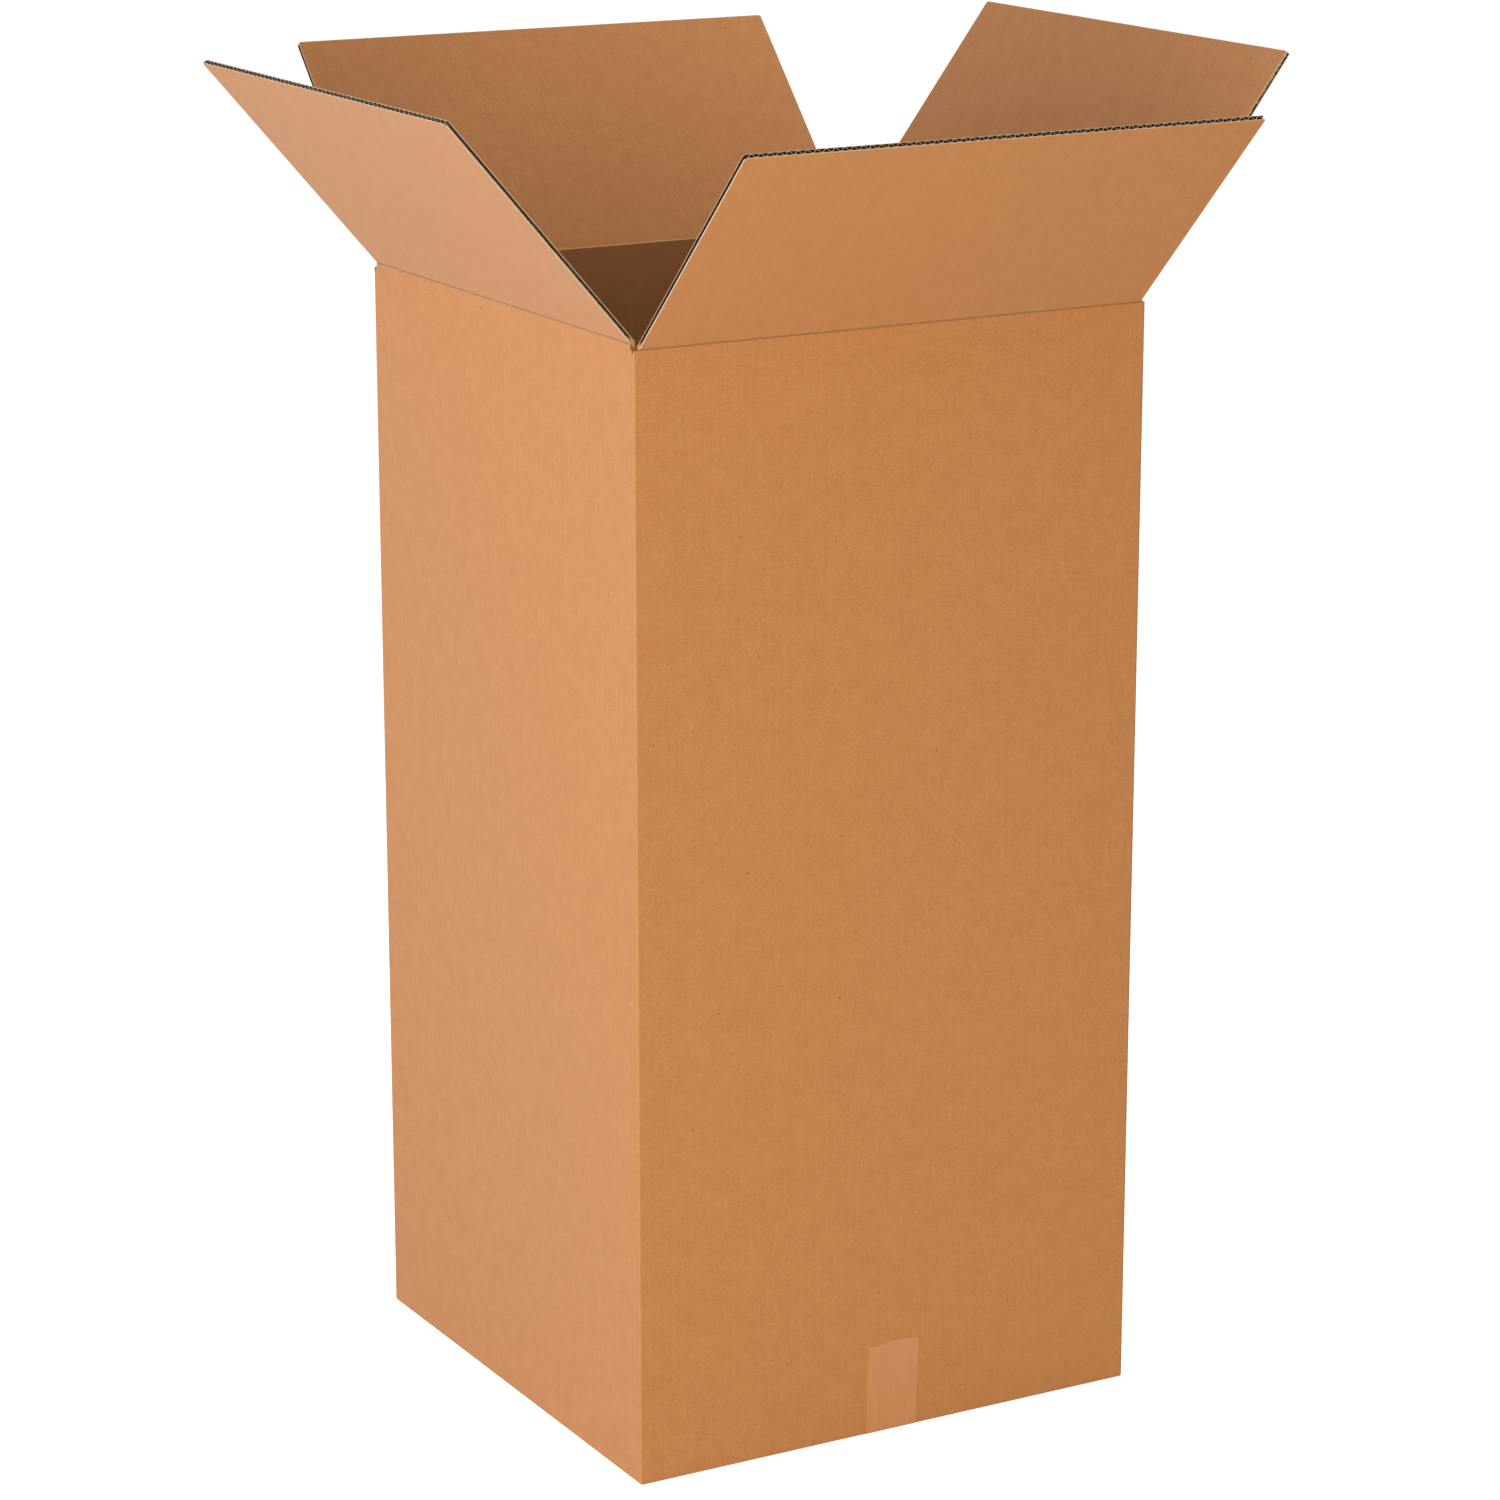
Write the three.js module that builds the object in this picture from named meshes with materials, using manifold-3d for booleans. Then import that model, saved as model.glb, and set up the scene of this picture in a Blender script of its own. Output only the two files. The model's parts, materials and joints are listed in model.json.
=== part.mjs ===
// A tall regular slotted carton of single-wall corrugated board, standing open on its taped bottom.
// Millimetres, +Z up, with the origin on the floor under the middle of the carton.
// The front wall faces -Y and the left wall faces -X. The inner flaps are on the front and back
// walls, and the outer flaps, which close over them, are on the left and right walls.

import * as THREE from "three";
import { mergeVertices } from "three/addons/utils/BufferGeometryUtils.js";
import Module from "manifold-3d";

// Carton
const insideWidth = 457.2; // 18 in, the same both ways
const insideHeight = 914.4; // 36 in, between the inner flaps of the bottom and those of the closed top
const cornerRadius = 2; // outer vertical edges
const foldRadius = 1.5; // outer edges of the bottom
const innerFlapSetback = 4.6; // from the carton's outer face to a side edge of an inner flap
const outerFlapSetback = 5.8; // the same for an outer flap
const seamGap = 1.5; // between two flaps that meet in the middle
const layerGap = 0.3; // between flaps that lie on each other
const creaseGap = 0.2; // left on each side of a hinge line
const wornCorner = 2.5; // rounding of a flap's free corners

// Corrugated board
const boardThickness = 4;
const linerThickness = 0.45;
const mediumThickness = 0.35;
const flutePitch = 7.8; // about 39 flutes to the foot
const glueLine = 1.6; // width over which the medium sits on a liner

// Glued lap that closes the blank into a tube, inside the back right corner
const lapWidth = 35;
const lapThickness = 2.6;
const lapTaper = 8; // how much shorter the lap's free edge is at each end
const lapClearance = 10; // from the lap's ends to the flaps

// Tape over the bottom seam, up the front and back walls
const tapeWidth = 48;
const tapeThickness = 0.2;
const tapeSkew = THREE.MathUtils.degToRad(1.35); // how far the strip is laid off square
const tapeOffset = 2.4; // middle of the strip, to the right of the seam at the front edge
const frontTabHeight = 77;
const backTabHeight = 70;
// Torn ends of the tape: share of the width from the left, and how far the edge is above its mean.
const tornEdge = [
  [0, 0],
  [0.13, -1.2],
  [0.34, 0.2],
  [0.45, 1.7],
  [1, 0],
];

// How far the top flaps lean out at rest, from upright
const frontLean = THREE.MathUtils.degToRad(45);
const backLean = THREE.MathUtils.degToRad(43);
const leftLean = THREE.MathUtils.degToRad(41);
const rightLean = THREE.MathUtils.degToRad(37);

const roundSteps = 4; // steps in the rounding of an edge
const kraft = new THREE.MeshStandardMaterial({ color: "#c48d5e", roughness: 0.85, metalness: 0 });
const brownTape = new THREE.MeshStandardMaterial({ color: "#c98f62", roughness: 0.4, metalness: 0 });

const outsideWidth = insideWidth + 2 * boardThickness;
const half = outsideWidth / 2;
const insideHalf = insideWidth / 2;
const innerFlapWidth = outsideWidth - 2 * innerFlapSetback;
const outerFlapWidth = outsideWidth - 2 * outerFlapSetback;
const flapDepth = half - seamGap / 2;

// Levels, from the floor up. The outer flaps' crease is a board's thickness above the inner flaps'.
const underside = tapeThickness;
const innerLayer = underside + boardThickness + layerGap;
const cavityFloor = innerLayer + boardThickness;
const innerCrease = cavityFloor + insideHeight + boardThickness;
const outerCrease = innerCrease + layerGap + boardThickness;
const slotFloor = innerCrease - creaseGap;

const wasm = await Module();
wasm.setup();

// A closed geometry as a solid that can be joined and cut.
function solidOf(geometry) {
  const bare = new THREE.BufferGeometry().setAttribute("position", geometry.getAttribute("position"));
  if (geometry.index) bare.setIndex(geometry.index);
  const merged = mergeVertices(bare, 1e-4);
  return new wasm.Manifold(
    new wasm.Mesh({
      numProp: 3,
      vertProperties: merged.getAttribute("position").array,
      triVerts: new Uint32Array(merged.index.array),
    }),
  );
}

// A solid back as a geometry that a mesh can show.
function geometryOf(solid) {
  const { vertProperties, triVerts } = solid.getMesh();
  const geometry = new THREE.BufferGeometry()
    .setAttribute("position", new THREE.BufferAttribute(vertProperties, 3))
    .setIndex(new THREE.BufferAttribute(triVerts, 1))
    .toNonIndexed();
  geometry.computeVertexNormals();
  return geometry;
}

// A straight prism along X over a profile in (y, z), from -length / 2 to length / 2.
function prismAlongX(profile, length) {
  const shape = new THREE.Shape(profile.map(([y, z]) => new THREE.Vector2(y, z)));
  const prism = new THREE.ExtrudeGeometry(shape, { depth: length, bevelEnabled: false });
  prism.translate(0, 0, -length / 2);
  // (x, y, z) becomes (z, x, y), so the profile stands up and the length lies along X.
  prism.applyMatrix4(new THREE.Matrix4().set(0, 0, 1, 0, 1, 0, 0, 0, 0, 1, 0, 0, 0, 0, 0, 1));
  return prism;
}

// A block that is central on the origin in X and Y, between two levels.
function block(widthX, widthY, bottom, top) {
  const box = new THREE.BoxGeometry(widthX, widthY, top - bottom);
  box.translate(0, 0, (bottom + top) / 2);
  return solidOf(box);
}

function roundedSquare(side, radius) {
  const reach = side / 2 - radius;
  const shape = new THREE.Shape();
  shape.absarc(reach, reach, radius, 0, Math.PI / 2);
  shape.absarc(-reach, reach, radius, Math.PI / 2, Math.PI);
  shape.absarc(-reach, -reach, radius, Math.PI, 1.5 * Math.PI);
  shape.absarc(reach, -reach, radius, 1.5 * Math.PI, 2 * Math.PI);
  return shape;
}

// Four walls round the cavity, up to the slots, on a solid bottom with folded outer edges.
function wallsAndFloor() {
  const spare = foldRadius + boardThickness; // cut off again, with the rounding at the top
  const outer = new THREE.ExtrudeGeometry(roundedSquare(outsideWidth, cornerRadius), {
    depth: slotFloor - underside - foldRadius + spare,
    bevelThickness: foldRadius,
    bevelSize: foldRadius,
    bevelOffset: -foldRadius,
    bevelSegments: roundSteps,
    curveSegments: roundSteps,
  });
  outer.translate(0, 0, underside + foldRadius);
  return solidOf(outer)
    .subtract(block(2 * outsideWidth, 2 * outsideWidth, slotFloor, outerCrease + spare))
    .subtract(block(insideWidth, insideWidth, cavityFloor, outerCrease + spare));
}

// What is cut out of the bottom to leave four flaps: the outer pair meets at x = 0 on the underside,
// and the inner pair meets at y = 0 above it. Each flap hangs on its own wall only.
function bottomCuts() {
  const below = underside - boardThickness;
  const above = cavityFloor + boardThickness;
  const between = block(insideWidth, insideWidth, underside + boardThickness, innerLayer);
  const outerSeam = block(seamGap, insideWidth, below, innerLayer);
  const innerSeam = block(insideWidth, seamGap, underside + boardThickness, above);
  const outerSides = block(insideWidth, insideWidth, below, innerLayer).subtract(
    block(outsideWidth, outerFlapWidth, below - 1, innerLayer + 1),
  );
  const innerSides = block(insideWidth, insideWidth, underside + boardThickness, above).subtract(
    block(innerFlapWidth, outsideWidth, below - 1, above + 1),
  );
  return between.add(outerSeam).add(innerSeam).add(outerSides).add(innerSides);
}

// What is cut off the top of the front or back wall to mitre it down from the crease to its inner
// face, so that the flap above it can turn in. It is turned about Z to its wall.
function wallMitre(turn) {
  const profile = [
    [-half - 1, slotFloor + 1],
    [-insideHalf, slotFloor - boardThickness],
    [-insideHalf, slotFloor + 1],
  ];
  return solidOf(prismAlongX(profile, outsideWidth + 2).rotateZ(turn));
}

// The top of a side wall between its two slots, which stands a board higher than the other walls
// and is mitred in the same way.
function wallCrest(turn) {
  const top = outerCrease - creaseGap;
  const root = slotFloor - boardThickness; // well inside the wall below
  const profile = [
    [-half, root],
    [-insideHalf, root],
    [-insideHalf, top - boardThickness],
    [-half, top],
  ];
  return solidOf(prismAlongX(profile, outerFlapWidth).rotateZ(turn));
}

// The lap on the end of the back wall, glued to the inside of the right wall.
function gluedLap() {
  const bottom = cavityFloor + lapClearance;
  const top = slotFloor - lapClearance;
  const free = insideHalf - lapWidth;
  const profile = [
    [free, bottom + lapTaper],
    [insideHalf, bottom],
    [insideHalf, top],
    [free, top - lapTaper],
  ];
  const lap = prismAlongX(profile, lapThickness + boardThickness);
  lap.translate(insideHalf + (boardThickness - lapThickness) / 2, 0, 0);
  return solidOf(lap);
}

function cartonBody() {
  const body = wallsAndFloor()
    .subtract(bottomCuts())
    .subtract(wallMitre(0))
    .subtract(wallMitre(Math.PI))
    .add(wallCrest(Math.PI / 2))
    .add(wallCrest(1.5 * Math.PI))
    .add(gluedLap());
  return geometryOf(body);
}

// One flute as a prism along Z, x along the crease and y through the board: it stands on one liner
// and reaches the medium under the other. Its wide face is at y = base and its narrow one at y = far.
function flute(middle, base, far) {
  const root = (flutePitch - glueLine) / 2;
  const tip = (glueLine - mediumThickness) / 2;
  const shape = new THREE.Shape([
    new THREE.Vector2(middle - root, base),
    new THREE.Vector2(middle + root, base),
    new THREE.Vector2(middle + tip, far),
    new THREE.Vector2(middle - tip, far),
  ]);
  const prism = new THREE.ExtrudeGeometry(shape, { depth: flapDepth + 2, bevelEnabled: false });
  return solidOf(prism.translate(0, 0, -1));
}

// All the flutes of a flap. They stand on the outer and the inner liner in turn, and the cut at
// each side edge opens one that stands on the inner liner.
function flutes(width) {
  const count = Math.floor(width / flutePitch);
  const first = (-count * flutePitch) / 2;
  const outerLiner = linerThickness;
  const innerLiner = boardThickness - linerThickness;
  const underCrest = innerLiner - mediumThickness;
  const overCrest = outerLiner + mediumThickness;
  const all = [];
  for (let i = 0; i < count; i++) {
    all.push(flute(first + (i + 0.5) * flutePitch, outerLiner, underCrest));
    if (i > 0) all.push(flute(first + i * flutePitch, innerLiner, overCrest));
  }
  for (const side of [-1, 1]) {
    const opened = flute(side * first, innerLiner, overCrest);
    const cut = new THREE.BoxGeometry(flutePitch, innerLiner - overCrest, flapDepth + 2);
    cut.translate(side * (first - flutePitch / 2), (innerLiner + overCrest) / 2, flapDepth / 2);
    all.push(opened.add(solidOf(cut)));
  }
  return wasm.Manifold.union(all);
}

// The edge of a flap with its free corners rounded, as a plate along y that reaches past the foot.
function flapOutline(width) {
  const side = width / 2;
  const reach = side - wornCorner;
  const shoulder = flapDepth - wornCorner;
  const outline = new THREE.Shape();
  outline.moveTo(-side, -boardThickness);
  outline.lineTo(side, -boardThickness);
  outline.absarc(reach, shoulder, wornCorner, 0, Math.PI / 2);
  outline.absarc(-reach, shoulder, wornCorner, Math.PI / 2, Math.PI);
  const plate = new THREE.ExtrudeGeometry(outline, {
    depth: 3 * boardThickness,
    bevelEnabled: false,
    curveSegments: roundSteps,
  });
  return solidOf(plate.rotateX(Math.PI / 2).translate(0, 2 * boardThickness, 0));
}

// A flap stands on its crease at the origin: x along the crease, its outer face on y = 0, z up to
// the free edge. Its foot is mitred up towards the inner face, and its free corners are rounded.
function topFlap(width) {
  const profile = [
    [0, creaseGap],
    [boardThickness, creaseGap + boardThickness],
    [boardThickness, flapDepth],
    [0, flapDepth],
  ];
  const slab = solidOf(prismAlongX(profile, width));
  return geometryOf(slab.intersect(flapOutline(width)).subtract(flutes(width)));
}

// The path of the tape's inner face in (y, z), with how far along the strip each point is from
// the front edge of the bottom, and the direction out of the carton there.
function tapePath() {
  const path = [{ y: -half, z: underside + frontTabHeight, along: -frontTabHeight, out: [-1, 0], end: -1 }];
  const bend = (middle, from) => {
    for (let i = 0; i <= roundSteps; i++) {
      const angle = from + (i / roundSteps) * (Math.PI / 2);
      const out = [Math.cos(angle), Math.sin(angle)];
      const y = middle + foldRadius * out[0];
      path.push({ y, z: underside + foldRadius * (1 + out[1]), along: y + half, out, end: 0 });
    }
  };
  bend(-half + foldRadius, Math.PI);
  bend(half - foldRadius, 1.5 * Math.PI);
  const length = outsideWidth + backTabHeight;
  path.push({ y: half, z: underside + backTabHeight, along: length, out: [1, 0], end: 1 });
  return path;
}

// One strip that follows the path, laid a little off square, with both ends torn.
function tapeStrip() {
  const path = tapePath();
  const columns = tornEdge.length;
  const points = [];
  for (const { y, z, along, out, end } of path) {
    for (const face of [0, tapeThickness]) {
      for (const [share, rise] of tornEdge) {
        const torn = end ? rise : 0;
        const x = tapeOffset + (share - 0.5) * tapeWidth - along * Math.tan(tapeSkew);
        points.push(x, y + face * out[0], z + face * out[1] + torn);
      }
    }
  }
  const faces = [];
  const quad = (a, b, c, d) => faces.push(a, b, c, a, c, d);
  const row = 2 * columns;
  const outerFace = columns;
  for (let i = 0; i + 1 < path.length; i++) {
    const here = i * row;
    const next = here + row;
    for (let j = 0; j + 1 < columns; j++) {
      quad(here + j, here + j + 1, next + j + 1, next + j);
      const far = here + outerFace + j;
      quad(far, far + row, far + row + 1, far + 1);
    }
    const last = columns - 1;
    quad(here, next, next + outerFace, here + outerFace);
    quad(here + last, here + outerFace + last, next + outerFace + last, next + last);
  }
  const foot = (path.length - 1) * row;
  for (let j = 0; j + 1 < columns; j++) {
    quad(j, j + outerFace, j + outerFace + 1, j + 1);
    quad(foot + j, foot + j + 1, foot + j + 1 + outerFace, foot + j + outerFace);
  }
  const strip = new THREE.BufferGeometry();
  strip.setAttribute("position", new THREE.BufferAttribute(new Float32Array(points), 3));
  strip.setIndex(faces);
  strip.computeVertexNormals();
  return strip;
}

const carton = new THREE.Group();

function addPiece(name, geometry, material, parent = carton) {
  const piece = new THREE.Mesh(geometry, material);
  piece.name = name;
  parent.add(piece);
  return piece;
}

addPiece("carton_body", cartonBody(), kraft);
addPiece("bottom_tape", tapeStrip(), brownTape);

// Each top flap hangs on a wall that is the front wall turned about Z.
const innerFlap = topFlap(innerFlapWidth);
const outerFlap = topFlap(outerFlapWidth);
const topFlaps = [
  ["top_flap_front", innerFlap, 0, innerCrease, frontLean],
  ["top_flap_right", outerFlap, Math.PI / 2, outerCrease, rightLean],
  ["top_flap_back", innerFlap, Math.PI, innerCrease, backLean],
  ["top_flap_left", outerFlap, 1.5 * Math.PI, outerCrease, leftLean],
];
for (const [name, flap, turn, crease, lean] of topFlaps) {
  const wall = new THREE.Group();
  wall.rotation.z = turn;
  carton.add(wall);
  const leaf = addPiece(name, flap, kraft, wall);
  leaf.position.set(0, -half, crease);
  leaf.rotation.x = lean;
}

export default carton;
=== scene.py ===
import json
import math

import bpy
from mathutils import Euler, Matrix, Vector


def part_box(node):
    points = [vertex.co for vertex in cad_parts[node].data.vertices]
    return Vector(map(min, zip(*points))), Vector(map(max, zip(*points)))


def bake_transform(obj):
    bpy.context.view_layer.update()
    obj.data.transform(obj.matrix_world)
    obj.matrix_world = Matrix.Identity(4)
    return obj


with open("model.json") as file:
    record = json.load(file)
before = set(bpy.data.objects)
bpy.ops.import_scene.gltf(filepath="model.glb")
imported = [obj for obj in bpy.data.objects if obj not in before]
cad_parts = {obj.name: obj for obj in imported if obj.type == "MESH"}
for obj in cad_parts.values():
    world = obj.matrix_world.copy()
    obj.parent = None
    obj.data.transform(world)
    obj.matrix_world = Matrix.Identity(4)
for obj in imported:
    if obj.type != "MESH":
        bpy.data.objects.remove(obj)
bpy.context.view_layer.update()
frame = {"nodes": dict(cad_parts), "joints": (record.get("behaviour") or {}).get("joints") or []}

# The view: the carton is seen from its front left corner, a little from above, with a long lens.
# The lens and the place are fitted to the corners of the carton in a 1500 x 1500 picture.
view_target = Vector((-0.001, 0.0, 0.5302))
view_azimuth = math.radians(-29.38)
view_elevation = math.radians(14.94)
view_distance = 3.9055
view_back = Vector((
    math.sin(view_azimuth) * math.cos(view_elevation),
    -math.cos(view_azimuth) * math.cos(view_elevation),
    math.sin(view_elevation),
))
camera = bpy.data.objects.new("view", bpy.data.cameras.new("view"))
camera.data.lens = 111.14
camera.data.sensor_width = 36
camera.data.clip_end = 60
camera.location = view_target + view_back * view_distance
camera.rotation_euler = (-view_back).to_track_quat("-Z", "Y").to_euler()
bpy.context.collection.objects.link(camera)
bpy.context.scene.camera = camera


# The studio: a pale floor, white walls of light round the carton, a big soft light on the left, a
# warmer one in front, and a small one high on the right that lights the back flap's inside.
# The camera sees floor and background as white, with a faint shadow under the carton.
floor_colour = "#e9e9e9"
floor_glow = 0.76
room_light = 0.39


def linear(hex_colour):
    """An sRGB hex colour as linear RGBA."""
    parts = [int(hex_colour[i:i + 2], 16) / 255 for i in (1, 3, 5)]
    return (*[c / 12.92 if c <= 0.04045 else ((c + 0.055) / 1.055) ** 2.4 for c in parts], 1)


def add_node(tree, kind, settings=None, **links):
    """A new node with its settings: attributes by name, sockets by [name], and links from sockets."""
    node = tree.nodes.new(kind)
    for name, value in (settings or {}).items():
        if name.startswith("["):
            key = name[1:-1]
            node.inputs[int(key) if key.isdigit() else key].default_value = value
        else:
            setattr(node, name, value)
    for name, source in links.items():
        key = name[1:] if name[1:].isdigit() else name.replace("_", " ")
        tree.links.new(source, node.inputs[int(key) if key.isdigit() else key])
    return node


def new_material(name):
    """A new material and its empty node tree."""
    material = bpy.data.materials.new(name)
    material.use_nodes = True
    material.node_tree.nodes.clear()
    return material, material.node_tree


def add_softbox(name, place, aim, width, height, watts, tint):
    """A soft rectangular light that faces a point."""
    lamp = bpy.data.lights.new(name, "AREA")
    lamp.shape = "RECTANGLE"
    lamp.size, lamp.size_y, lamp.energy = width, height, watts
    lamp.color = linear(tint)[:3]
    box = bpy.data.objects.new(name, lamp)
    box.location = place
    box.rotation_euler = (Vector(aim) - Vector(place)).to_track_quat("-Z", "Y").to_euler()
    bpy.context.collection.objects.link(box)


add_softbox("left_softbox", (-3.5, 0.1, 1.8), (0, 0, 0.5), 2.2, 2.2, 80, "#e6f1ff")
add_softbox("front_softbox", (-1.7, -2.9, 0.7), (0, 0, 0.5), 1.8, 1.4, 56, "#fffade")
add_softbox("high_softbox", (1.0, 0.25, 1.75), (0, 0.3, 1.0), 0.5, 0.5, 7, "#fffade")

bpy.ops.mesh.primitive_plane_add(size=60, location=(0, 0, 0))
floor = bpy.context.active_object
floor.name = "studio_floor"

paper, tree = new_material("seamless_paper")
ray = add_node(tree, "ShaderNodeLightPath")
lit = add_node(tree, "ShaderNodeBsdfDiffuse", {"[Color]": linear(floor_colour)})
glow = add_node(tree, "ShaderNodeEmission", {"[Color]": (1, 1, 1, 1), "[Strength]": floor_glow})
seen = add_node(tree, "ShaderNodeAddShader", n0=lit.outputs[0], n1=glow.outputs[0])
floor_shader = add_node(
    tree, "ShaderNodeMixShader",
    n0=ray.outputs["Is Camera Ray"], n1=lit.outputs[0], n2=seen.outputs[0],
)
add_node(tree, "ShaderNodeOutputMaterial", Surface=floor_shader.outputs[0])
floor.data.materials.append(paper)

world = bpy.data.worlds.new("white_studio")
bpy.context.scene.world = world
world.use_nodes = True
tree = world.node_tree
tree.nodes.clear()
ray = add_node(tree, "ShaderNodeLightPath")
room = add_node(tree, "ShaderNodeBackground", {"[Color]": (1, 1, 1, 1), "[Strength]": room_light})
white = add_node(tree, "ShaderNodeBackground", {"[Color]": (1, 1, 1, 1), "[Strength]": 1.0})
room_or_white = add_node(
    tree, "ShaderNodeMixShader",
    n0=ray.outputs["Is Camera Ray"], n1=room.outputs[0], n2=white.outputs[0],
)
add_node(tree, "ShaderNodeOutputWorld", Surface=room_or_white.outputs[0])

bpy.context.scene.view_settings.view_transform = "Standard"


# The board: unbleached kraft liner on a corrugated medium, as it comes off the corrugator. It is
# matt and cloudy, with fibres that lie level, across the upright flutes, which just show through
# the liner as washboard lines. A few dark and pale specks of pulp are in it.
liner_colour = "#c98953"
fibre_colour = "#bd7c48"
dark_speck = "#55331b"
pale_speck = "#dcae80"
fibre_length = 0.0018
fibre_width = 0.0009
cloud_size = 0.014
cloud_share = 0.2
flute_pitch = 0.0078
# How far the washboard's painted shade darkens and lightens the colour.
washboard_painted_shade = 0.017
washboard_height = 0.35
washboard_patch = 0.05
speck_cell = 0.03
speck_core = 0.00042
speck_rim = 0.00102
pale_share = 0.25


def add_kraft(tree, place, across):
    """The colour and the height of kraft liner at a place, given the way across the flutes."""
    level = add_node(
        tree, "ShaderNodeMapping",
        {"[Scale]": (1 / fibre_length, 1 / fibre_length, 1 / fibre_width)},
        Vector=place,
    )
    fibres = add_node(
        tree, "ShaderNodeTexNoise", {"[Scale]": 1.0, "[Detail]": 3.0, "[Roughness]": 0.6},
        Vector=level.outputs[0],
    )
    clouds = add_node(
        tree, "ShaderNodeTexNoise", {"[Scale]": 1 / cloud_size, "[Detail]": 2.0, "[Roughness]": 0.55},
        Vector=place,
    )
    mottle = add_node(
        tree, "ShaderNodeMix", {"data_type": "FLOAT", "[0]": cloud_share},
        n2=fibres.outputs["Fac"], n3=clouds.outputs["Fac"],
    )
    tone = add_node(tree, "ShaderNodeValToRGB", Fac=mottle.outputs[0])
    tone.color_ramp.elements[0].position = 0.4
    tone.color_ramp.elements[0].color = linear(fibre_colour)
    tone.color_ramp.elements[1].position = 0.6
    tone.color_ramp.elements[1].color = linear(liner_colour)

    # Washboard: painted shade over each flute, a little darker there, more in some places than in others.
    phase = add_node(
        tree, "ShaderNodeMath", {"operation": "MULTIPLY", "[1]": 2 * math.pi / flute_pitch}, n0=across,
    )
    wave = add_node(tree, "ShaderNodeMath", {"operation": "SINE"}, n0=phase.outputs[0])
    patches = add_node(
        tree, "ShaderNodeTexNoise", {"[Scale]": 1 / washboard_patch, "[Detail]": 1.0}, Vector=place,
    )
    washboard = add_node(
        tree, "ShaderNodeMath", {"operation": "MULTIPLY"}, n0=wave.outputs[0], n1=patches.outputs["Fac"],
    )
    painted_shade = add_node(
        tree, "ShaderNodeMapRange",
        {"[From Min]": -1.0, "[To Min]": 1 - washboard_painted_shade, "[To Max]": 1 + washboard_painted_shade},
        Value=washboard.outputs[0],
    )
    with_painted_ripple_shade = add_node(
        tree, "ShaderNodeMix", {"data_type": "RGBA", "blend_type": "MULTIPLY", "[0]": 1.0},
        n6=tone.outputs["Color"], n7=painted_shade.outputs[0],
    )

    # Specks up to two millimetres across, about thirty on a wall: one in four pale, the others dark.
    specks = add_node(
        tree, "ShaderNodeTexVoronoi", {"[Scale]": 1 / speck_cell, "[Randomness]": 1.0}, Vector=place,
    )
    speck = add_node(
        tree, "ShaderNodeMapRange",
        {
            "[From Min]": speck_core / speck_cell,
            "[From Max]": speck_rim / speck_cell,
            "[To Min]": 0.8,
            "[To Max]": 0.0,
        },
        Value=specks.outputs["Distance"],
    )
    draw = add_node(tree, "ShaderNodeSeparateColor", Color=specks.outputs["Color"])
    pale = add_node(
        tree, "ShaderNodeMath", {"operation": "LESS_THAN", "[1]": pale_share}, n0=draw.outputs[0],
    )
    speck_colour = add_node(
        tree, "ShaderNodeMix",
        {"data_type": "RGBA", "[6]": linear(dark_speck), "[7]": linear(pale_speck)},
        n0=pale.outputs[0],
    )
    speckled = add_node(
        tree, "ShaderNodeMix", {"data_type": "RGBA"},
        n0=speck.outputs[0], n6=with_painted_ripple_shade.outputs[2], n7=speck_colour.outputs[2],
    )
    height = add_node(
        tree, "ShaderNodeMath", {"operation": "MULTIPLY_ADD", "[1]": washboard_height},
        n0=washboard.outputs[0], n2=mottle.outputs[0],
    )
    return speckled.outputs[2], height.outputs[0]


def finish_kraft(tree, colour, height):
    """The matt surface of the board, slightly rough to the touch, with the sheen of loose fibres."""
    bump = add_node(tree, "ShaderNodeBump", {"[Strength]": 0.5, "[Distance]": 0.0002}, Height=height)
    surface = add_node(
        tree, "ShaderNodeBsdfPrincipled",
        {"[Roughness]": 0.8, "[IOR]": 1.45, "[Sheen Weight]": 0.22, "[Sheen Roughness]": 0.4},
        Base_Color=colour, Normal=bump.outputs[0],
    )
    add_node(tree, "ShaderNodeOutputMaterial", Surface=surface.outputs[0])


# The walls: one blank folded round at four scores, slotted at the top corners, and glued inside.
# A score crushes the board; the darker line beside each fold and below each crease is painted shade. The
# front and back walls end at the crease of the inner flaps, a little lower than the outer flaps' on the other
# two.
hinges = {joint["child"]: joint["pos_m"] for joint in frame["joints"]}
half_width = -hinges["front_flap"][1]
inner_crease = hinges["front_flap"][2]
outer_crease = hinges["right_flap"][2]
# The painted shade beside a crease and beside a fold: its width, and how dark it is at the line.
crease_width, crease_painted_shade_level = 0.0012, 0.6
fold_width, fold_painted_shade_level = 0.0024, 0.82
crushed_colour = "#94643c"
slot_floor = 0.92  # a face above this height is a cut top,
cut_top_rise = 0.4  # where its normal rises more than this
carton_middle = (0, 0, 0.4)
greyer_inside = (0.9, 1.1, 1.3, 1)


def add_painted_score_shade(tree, distance, width, painted_shade):
    """The painted shade of the board at a distance from a score: darker within its width."""
    line = add_node(
        tree, "ShaderNodeMapRange",
        {
            "interpolation_type": "SMOOTHSTEP",
            "[From Min]": width / 4,
            "[From Max]": width,
            "[To Min]": painted_shade,
        },
        Value=distance,
    )
    return line.outputs[0]


def cover(node_name, material):
    """Gives a piece of the frame its material."""
    piece = frame["nodes"][node_name]
    piece.data.materials.clear()
    piece.data.materials.append(material)


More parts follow.
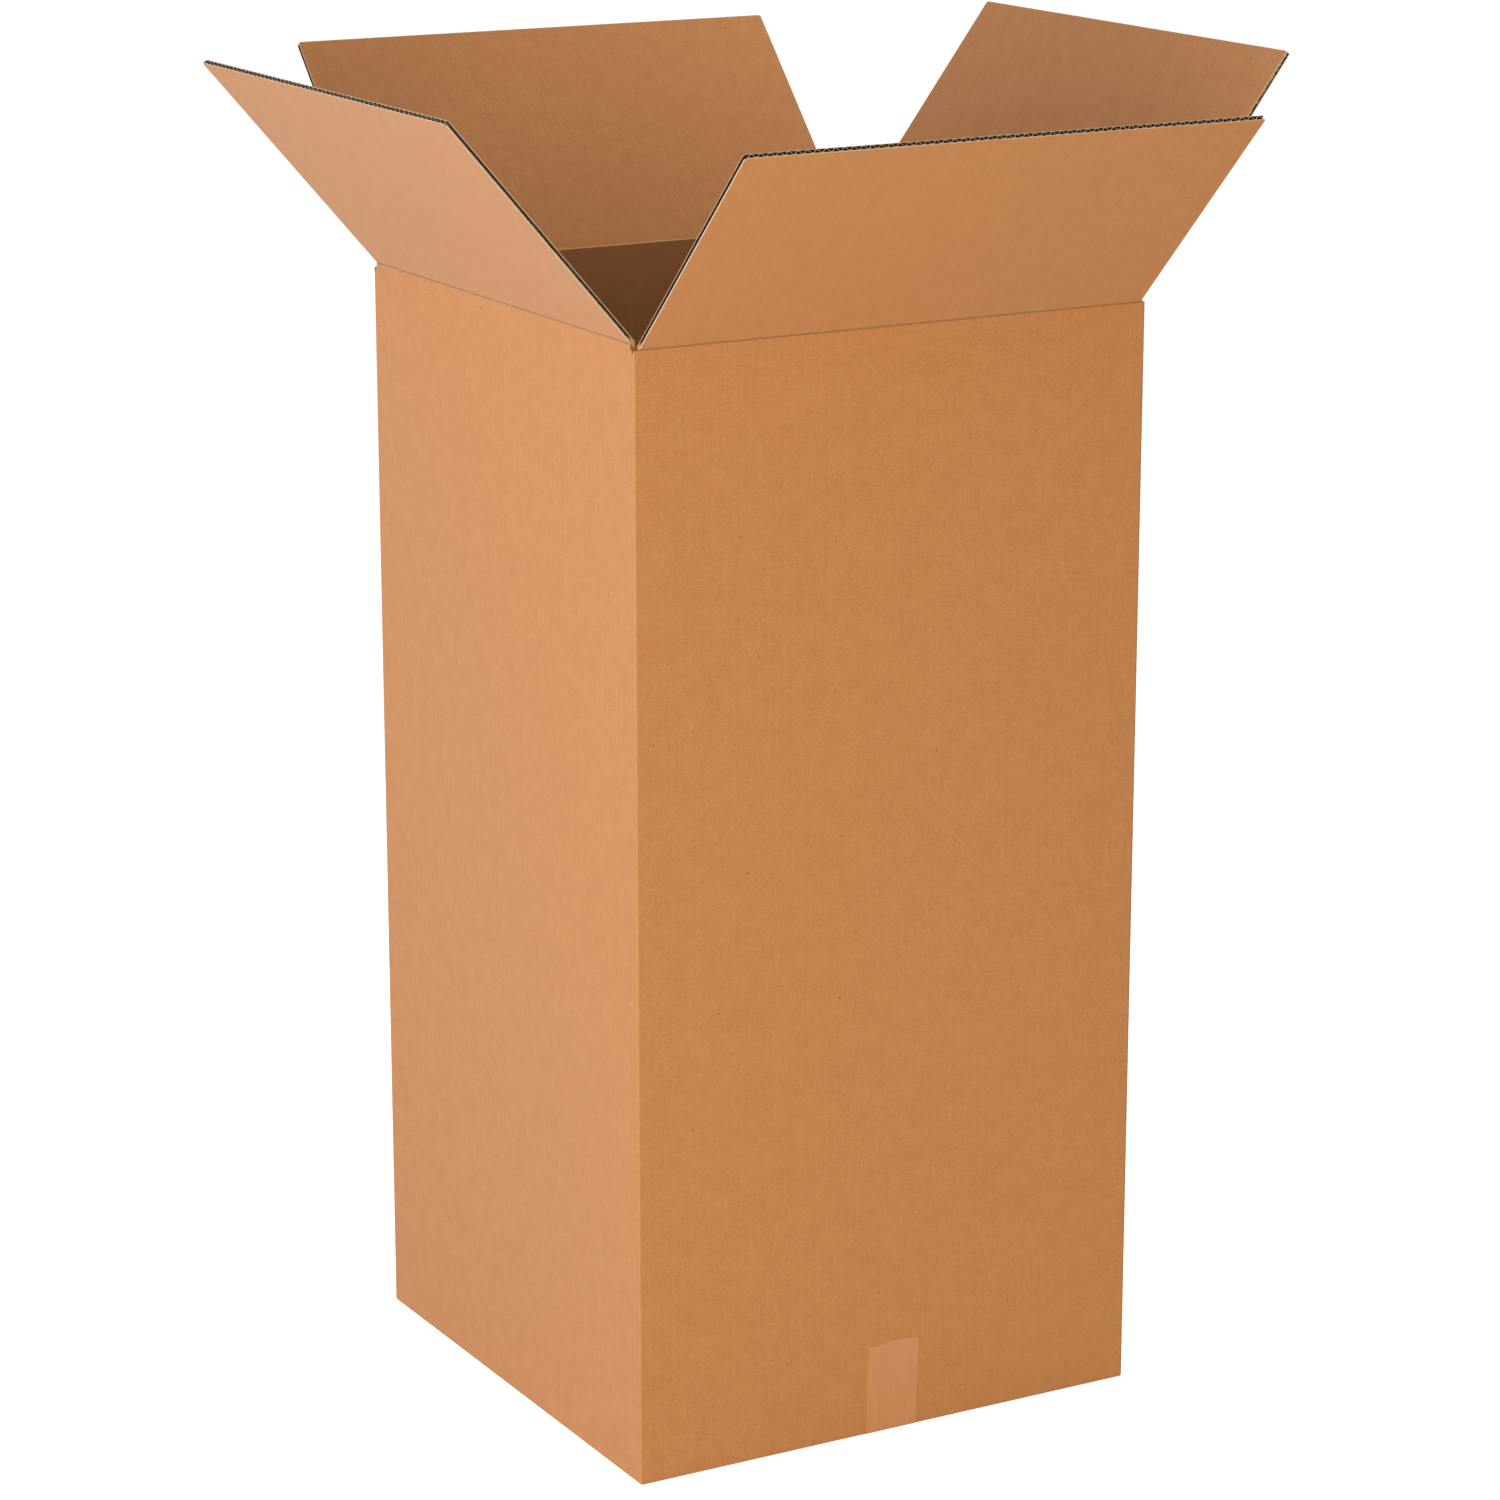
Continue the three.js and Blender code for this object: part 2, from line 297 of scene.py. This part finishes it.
walls, tree = new_material("kraft_board_walls")
place = add_node(tree, "ShaderNodeTexCoord")
axes = add_node(tree, "ShaderNodeSeparateXYZ", Vector=place.outputs["Object"])
facing = add_node(tree, "ShaderNodeSeparateXYZ", Vector=place.outputs["Normal"])
side_x = add_node(tree, "ShaderNodeMath", {"operation": "ABSOLUTE"}, n0=facing.outputs["X"])
side_y = add_node(tree, "ShaderNodeMath", {"operation": "ABSOLUTE"}, n0=facing.outputs["Y"])
faces_x = add_node(
    tree, "ShaderNodeMath", {"operation": "GREATER_THAN"}, n0=side_x.outputs[0], n1=side_y.outputs[0],
)
across = add_node(
    tree, "ShaderNodeMix", {"data_type": "FLOAT"},
    n0=faces_x.outputs[0], n2=axes.outputs["X"], n3=axes.outputs["Y"],
)
colour, height = add_kraft(tree, place.outputs["Object"], across.outputs[0])

# Painted shade along the crease at the top of each wall.
crease = add_node(
    tree, "ShaderNodeMix", {"data_type": "FLOAT", "[2]": inner_crease, "[3]": outer_crease},
    n0=faces_x.outputs[0],
)
below = add_node(
    tree, "ShaderNodeMath", {"operation": "SUBTRACT"}, n0=crease.outputs[0], n1=axes.outputs["Z"],
)
crease_painted_shade = add_painted_score_shade(tree, below.outputs[0], crease_width, crease_painted_shade_level)

# Painted shade beside the score of each upright fold, on the front and back walls' side of it.
reach = add_node(tree, "ShaderNodeMath", {"operation": "ABSOLUTE"}, n0=across.outputs[0])
from_fold = add_node(
    tree, "ShaderNodeMath", {"operation": "SUBTRACT", "[0]": half_width}, n1=reach.outputs[0],
)
fold_painted_shade = add_painted_score_shade(tree, from_fold.outputs[0], fold_width, fold_painted_shade_level)
fold_painted_shade_seen = add_node(
    tree, "ShaderNodeMix", {"data_type": "FLOAT", "[3]": 1.0}, n0=faces_x.outputs[0], n2=fold_painted_shade,
)
# The painted shade of crease and fold darkens the kraft colour.
painted_score_shade = add_node(
    tree, "ShaderNodeMath", {"operation": "MULTIPLY"}, n0=crease_painted_shade, n1=fold_painted_shade_seen.outputs[0],
)
with_painted_score_shade = add_node(
    tree, "ShaderNodeMix", {"data_type": "RGBA", "blend_type": "MULTIPLY", "[0]": 1.0},
    n6=colour, n7=painted_score_shade.outputs[0],
)

# The cut tops of the walls in the slots show crushed board.
high_up = add_node(
    tree, "ShaderNodeMath", {"operation": "GREATER_THAN", "[1]": slot_floor}, n0=axes.outputs["Z"],
)
upward = add_node(
    tree, "ShaderNodeMath", {"operation": "GREATER_THAN", "[1]": cut_top_rise}, n0=facing.outputs["Z"],
)
cut_top = add_node(
    tree, "ShaderNodeMath", {"operation": "MULTIPLY"}, n0=high_up.outputs[0], n1=upward.outputs[0],
)
cut = add_node(
    tree, "ShaderNodeMix", {"data_type": "RGBA", "[7]": linear(crushed_colour)},
    n0=cut_top.outputs[0], n6=with_painted_score_shade.outputs[2],
)

# The liner inside the walls looks a little greyer than the one outside.
from_middle = add_node(
    tree, "ShaderNodeVectorMath", {"operation": "SUBTRACT", "[1]": carton_middle},
    n0=place.outputs["Object"],
)
outward = add_node(
    tree, "ShaderNodeVectorMath", {"operation": "DOT_PRODUCT"},
    n0=from_middle.outputs[0], n1=place.outputs["Normal"],
)
inside = add_node(tree, "ShaderNodeMath", {"operation": "LESS_THAN", "[1]": 0.0}, n0=outward.outputs["Value"])
greyer = add_node(
    tree, "ShaderNodeMix", {"data_type": "RGBA", "blend_type": "MULTIPLY", "[7]": greyer_inside},
    n0=inside.outputs[0], n6=cut.outputs[2],
)
finish_kraft(tree, greyer.outputs[2], height)
cover("carton_body", walls)


# The top flaps: the same board past the crease, cut straight through at the free and side edges.
# The cut leaves a pale, torn lip on both liners, and the flutes between them get painted shade, nearly black.
torn_colour = "#e8c8a4"
# Painted shade inside the open flutes, nearly black.
flute_painted_shade_colour = "#2c130a"
board_thickness = 0.004
liner_thickness = 0.00045
seam_width = 0.0015  # between the free edges of a closed pair
flap_depth = half_width - seam_width / 2
core_half = board_thickness / 2 - liner_thickness * 0.8  # with the liners' faces in the flutes
lip_narrow, lip_wide = 0.0002, 0.001
lip_strength = 0.6
rag_size = 0.0025
cut_free_edge = 0.9  # a face is cut where this share of its normal points out of the free edge,
cut_side_edge = 0.95  # or this share out of a side edge
last_flute = 0.0045  # the side edges' cut opens the flutes as far in as this
medium_line = 0.0017  # from the outer face to the torn medium in the last flute
own_side_faces = 0.15  # the normal's share towards a point's own side, times its way from the middle

# How each flap lies as drawn: it has turned back from closed by a right angle and its lean.
flaps = []
for joint in frame["joints"]:
    flap_low, flap_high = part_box("top_flap_" + joint["child"].removesuffix("_flap"))
    along_crease = Vector(joint["axis"])
    flaps.append({
        "body": joint["child"],
        "side": joint["child"].removesuffix("_flap"),
        "hinge": Vector(joint["pos_m"]),
        "along_crease": along_crease,
        "turn": math.atan2(along_crease.y, along_crease.x),
        "lean": math.radians(-joint["range_deg"][0] - 90),
        "half_length": abs((flap_high - flap_low).dot(along_crease)) / 2,
    })

for flap in flaps:
    board, tree = new_material("kraft_board_" + flap["body"])
    place = add_node(tree, "ShaderNodeTexCoord")
    # Places on the flap laid flat: along the crease, through the board, and out from the crease.
    flat = add_node(
        tree, "ShaderNodeMapping",
        {
            "vector_type": "TEXTURE",
            "[Location]": flap["hinge"],
            "[Rotation]": Euler((flap["lean"], 0, flap["turn"])),
        },
        Vector=place.outputs["Object"],
    )
    axes = add_node(tree, "ShaderNodeSeparateXYZ", Vector=flat.outputs[0])
    along, depth, out = axes.outputs
    colour, height = add_kraft(tree, flat.outputs[0], along)
    # Painted shade along the crease, on the flap's side.
    crease_painted_shade = add_painted_score_shade(tree, out, crease_width, crease_painted_shade_level)
    with_painted_score_shade = add_node(
        tree, "ShaderNodeMix", {"data_type": "RGBA", "blend_type": "MULTIPLY", "[0]": 1.0},
        n6=colour, n7=crease_painted_shade,
    )

    # The torn lip: within a millimetre of the free edge and the side edges, and ragged.
    reach = add_node(tree, "ShaderNodeMath", {"operation": "ABSOLUTE"}, n0=along)
    from_side = add_node(
        tree, "ShaderNodeMath", {"operation": "SUBTRACT", "[0]": flap["half_length"]}, n1=reach.outputs[0],
    )
    from_free = add_node(tree, "ShaderNodeMath", {"operation": "SUBTRACT", "[0]": flap_depth}, n1=out)
    from_edge = add_node(
        tree, "ShaderNodeMath", {"operation": "MINIMUM"}, n0=from_side.outputs[0], n1=from_free.outputs[0],
    )
    rag = add_node(
        tree, "ShaderNodeTexNoise", {"[Scale]": 1 / rag_size, "[Detail]": 2.0}, Vector=flat.outputs[0],
    )
    torn_reach = add_node(
        tree, "ShaderNodeMapRange",
        {"[From Min]": 0.3, "[From Max]": 0.7, "[To Min]": lip_narrow, "[To Max]": lip_wide},
        Value=rag.outputs["Fac"],
    )
    torn_share = add_node(
        tree, "ShaderNodeMath", {"operation": "DIVIDE"}, n0=from_edge.outputs[0], n1=torn_reach.outputs[0],
    )
    torn = add_node(
        tree, "ShaderNodeMapRange",
        {"[From Min]": 0.6, "[From Max]": 1.2, "[To Min]": lip_strength, "[To Max]": 0.0},
        Value=torn_share.outputs[0],
    )
    lipped = add_node(
        tree, "ShaderNodeMix", {"data_type": "RGBA", "[7]": linear(torn_colour)},
        n0=torn.outputs[0], n6=with_painted_score_shade.outputs[2],
    )

    # Between the liners: pale where the medium is cut, and painted shade, nearly black, inside the flutes.
    centre = add_node(
        tree, "ShaderNodeMath", {"operation": "SUBTRACT", "[1]": board_thickness / 2}, n0=depth,
    )
    from_centre = add_node(tree, "ShaderNodeMath", {"operation": "ABSOLUTE"}, n0=centre.outputs[0])
    between = add_node(
        tree, "ShaderNodeMath", {"operation": "LESS_THAN", "[1]": core_half}, n0=from_centre.outputs[0],
    )
    towards_free = Vector((0, -math.sin(flap["lean"]), math.cos(flap["lean"])))
    faces_out = add_node(
        tree, "ShaderNodeVectorMath",
        {"operation": "DOT_PRODUCT", "[1]": Matrix.Rotation(flap["turn"], 3, "Z") @ towards_free},
        n0=place.outputs["Normal"],
    )
    faces_side = add_node(
        tree, "ShaderNodeVectorMath", {"operation": "DOT_PRODUCT", "[1]": flap["along_crease"]},
        n0=place.outputs["Normal"],
    )
    to_the_side = add_node(
        tree, "ShaderNodeMath", {"operation": "ABSOLUTE"}, n0=faces_side.outputs["Value"],
    )
    cut_out = add_node(
        tree, "ShaderNodeMath", {"operation": "GREATER_THAN", "[1]": cut_free_edge},
        n0=faces_out.outputs["Value"],
    )
    cut_side = add_node(
        tree, "ShaderNodeMath", {"operation": "GREATER_THAN", "[1]": cut_side_edge},
        n0=to_the_side.outputs[0],
    )
    cut = add_node(
        tree, "ShaderNodeMath", {"operation": "MAXIMUM"}, n0=cut_out.outputs[0], n1=cut_side.outputs[0],
    )

    # The cut of the side edges opens the last flute, and leaves the torn medium in it as a pale line.
    own_side = add_node(
        tree, "ShaderNodeMath", {"operation": "MULTIPLY"}, n0=faces_side.outputs["Value"], n1=along,
    )
    opened = add_node(
        tree, "ShaderNodeMath", {"operation": "GREATER_THAN", "[1]": own_side_faces}, n0=own_side.outputs[0],
    )
    in_last = add_node(
        tree, "ShaderNodeMath", {"operation": "LESS_THAN", "[1]": last_flute}, n0=from_side.outputs[0],
    )
    in_opened = add_node(
        tree, "ShaderNodeMath", {"operation": "MULTIPLY"}, n0=opened.outputs[0], n1=in_last.outputs[0],
    )
    beside_line = add_node(
        tree, "ShaderNodeMath", {"operation": "SUBTRACT", "[1]": medium_line}, n0=depth,
    )
    off_line = add_node(tree, "ShaderNodeMath", {"operation": "ABSOLUTE"}, n0=beside_line.outputs[0])
    line_share = add_node(
        tree, "ShaderNodeMath", {"operation": "DIVIDE"}, n0=off_line.outputs[0], n1=torn_reach.outputs[0],
    )
    torn_line = add_node(
        tree, "ShaderNodeMapRange",
        {"[From Min]": 0.6, "[From Max]": 1.0, "[To Min]": 1.0, "[To Max]": 0.0},
        Value=line_share.outputs[0],
    )
    torn_medium = add_node(
        tree, "ShaderNodeMath", {"operation": "MULTIPLY"},
        n0=in_opened.outputs[0], n1=torn_line.outputs[0],
    )
    cut_or_torn = add_node(
        tree, "ShaderNodeMath", {"operation": "MAXIMUM"}, n0=cut.outputs[0], n1=torn_medium.outputs[0],
    )
    flute_shade_or_torn = add_node(
        tree, "ShaderNodeMix",
        {"data_type": "RGBA", "[6]": linear(flute_painted_shade_colour), "[7]": linear(torn_colour)},
        n0=cut_or_torn.outputs[0],
    )
    open_board = add_node(
        tree, "ShaderNodeMix", {"data_type": "RGBA"},
        n0=between.outputs[0], n6=lipped.outputs[2], n7=flute_shade_or_torn.outputs[2],
    )
    finish_kraft(tree, open_board.outputs[2], height)
    cover("top_flap_" + flap["side"], board)


# The creases: where a wall turns into its flap the board is crushed, and its inner liner rolls over
# as a soft bead.
# Painted highlight along the ridge of each bead.
ridge_highlight_colour = "#f2cb95"
ridge_starts = (0.02, 0.18)  # the normal's rise where the painted highlight on the ridge fades in, going up, and where it fades out towards the flap
ridge_ends = (0.48, 0.6)  # and where it fades out towards the flap
bead_face = 0.00398  # from the hinge line through the board, a hair short of its inner face
bead_run = 0.0043  # down the wall from the hinge line, and as far out along the flap
bead_root = 0.0006  # where it starts, off the hinge line
bead_steps = 12
rim_share = 0.9  # points further out than this share of the strip are its rim
same_angle = 0.01

crushed, tree = new_material("crushed_kraft")
place = add_node(tree, "ShaderNodeTexCoord")
axes = add_node(tree, "ShaderNodeSeparateXYZ", Vector=place.outputs["Object"])
along_either = add_node(
    tree, "ShaderNodeMath", {"operation": "ADD"}, n0=axes.outputs["X"], n1=axes.outputs["Y"],
)
colour, height = add_kraft(tree, place.outputs["Object"], along_either.outputs[0])
# The ridge, which faces half as far up as the flap does, gets a painted highlight of paler fibre colour.
facing = add_node(tree, "ShaderNodeSeparateXYZ", Vector=place.outputs["Normal"])
above_wall = add_node(
    tree, "ShaderNodeMapRange",
    {
        "interpolation_type": "SMOOTHSTEP",
        "[From Min]": ridge_starts[0],
        "[From Max]": ridge_starts[1],
    },
    Value=facing.outputs["Z"],
)
below_flap = add_node(
    tree, "ShaderNodeMapRange",
    {
        "interpolation_type": "SMOOTHSTEP",
        "[From Min]": ridge_ends[0],
        "[From Max]": ridge_ends[1],
        "[To Min]": 1.0,
        "[To Max]": 0.0,
    },
    Value=facing.outputs["Z"],
)
on_ridge = add_node(
    tree, "ShaderNodeMath", {"operation": "MULTIPLY"}, n0=above_wall.outputs[0], n1=below_flap.outputs[0],
)
ridge_highlight = add_node(
    tree, "ShaderNodeMix", {"data_type": "RGBA", "[7]": linear(ridge_highlight_colour)},
    n0=on_ridge.outputs[0], n6=colour,
)
in_wall = add_node(
    tree, "ShaderNodeMath", {"operation": "SUBTRACT", "[0]": 1.0}, n1=above_wall.outputs[0],
)
greyer = add_node(
    tree, "ShaderNodeMix", {"data_type": "RGBA", "blend_type": "MULTIPLY", "[7]": greyer_inside},
    n0=in_wall.outputs[0], n6=ridge_highlight.outputs[2],
)
finish_kraft(tree, greyer.outputs[2], height)

for flap in flaps:
    lean = flap["lean"]
    foot = Vector((0, bead_face, -bead_run))
    head = Matrix.Rotation(lean, 3, "X") @ Vector((0, bead_face, bead_run))
    foot_angle = math.atan2(foot.z, foot.y)
    sweep = math.atan2(head.z, head.y) - foot_angle

    # A strip from the hinge line to the wall's inner edge, spun about the hinge up to the flap's.
    bpy.ops.object.select_all(action="DESELECT")
    bpy.ops.mesh.primitive_plane_add(size=1, location=(0, 0, 0))
    bead = bpy.context.active_object
    bead.name = "crease_" + flap["side"]
    bpy.ops.object.mode_set(mode="EDIT")
    bpy.ops.transform.resize(value=(2 * flap["half_length"], foot.length - bead_root, 1))
    bpy.ops.transform.translate(value=(0, (foot.length + bead_root) / 2, 0))
    bpy.ops.object.mode_set(mode="OBJECT")
    bead.rotation_euler = (foot_angle, 0, 0)
    bpy.ops.object.transform_apply(rotation=True)
    bpy.ops.object.mode_set(mode="EDIT")
    bpy.ops.mesh.spin(steps=bead_steps, angle=sweep, center=(0, 0, 0), axis=(-1, 0, 0))

    # It is pulled in to run straight on from the wall and from the flap, to a ridge between them.
    for step in range(1, bead_steps):
        at = foot_angle + sweep * step / bead_steps
        bpy.ops.mesh.select_all(action="DESELECT")
        bpy.ops.object.mode_set(mode="OBJECT")
        for point in bead.data.vertices:
            on_rim = math.hypot(point.co.y, point.co.z) > foot.length * rim_share
            point.select = on_rim and abs(math.atan2(point.co.z, point.co.y) - at) < same_angle
        bpy.ops.object.mode_set(mode="EDIT")
        off_face = at if step <= bead_steps / 2 else lean - at
        drawn_in = board_thickness / math.cos(off_face) / foot.length
        bpy.ops.transform.resize(value=(1, drawn_in, drawn_in), center_override=(0, 0, 0))
    bpy.ops.mesh.select_all(action="SELECT")
    bpy.ops.mesh.normals_make_consistent(inside=False)
    bpy.ops.object.mode_set(mode="OBJECT")
    bead.rotation_euler = (0, 0, flap["turn"])
    bead.location = flap["hinge"]
    bpy.ops.object.transform_apply(location=True, rotation=True)
    bpy.ops.object.shade_smooth_by_angle(angle=math.radians(60))
    bead.data.materials.append(crushed)
    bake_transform(bead)


# The tape: brown polypropylene packing tape with an acrylic adhesive, pressed on by hand.
# The film is thin and glossy: the board's tone shows through, with faint streaks along the tape.
film_colours = ("#cb8c5b", "#d1915f")
streak_width = 0.004
streak_length = 0.03

tape, tree = new_material("polypropylene_tape")
place = add_node(tree, "ShaderNodeTexCoord")
streaks = add_node(
    tree, "ShaderNodeMapping",
    {"[Scale]": (1 / streak_width, 1 / streak_length, 1 / streak_length)},
    Vector=place.outputs["Object"],
)
streak = add_node(
    tree, "ShaderNodeTexNoise", {"[Scale]": 1.0, "[Detail]": 3.0}, Vector=streaks.outputs[0],
)
film = add_node(tree, "ShaderNodeValToRGB", Fac=streak.outputs["Fac"])
film.color_ramp.elements[0].position = 0.3
film.color_ramp.elements[0].color = linear(film_colours[0])
film.color_ramp.elements[1].position = 0.7
film.color_ramp.elements[1].color = linear(film_colours[1])
surface = add_node(
    tree, "ShaderNodeBsdfPrincipled", {"[Roughness]": 0.38, "[IOR]": 1.49}, Base_Color=film.outputs[0],
)
add_node(tree, "ShaderNodeOutputMaterial", Surface=surface.outputs[0])
cover("bottom_tape", tape)
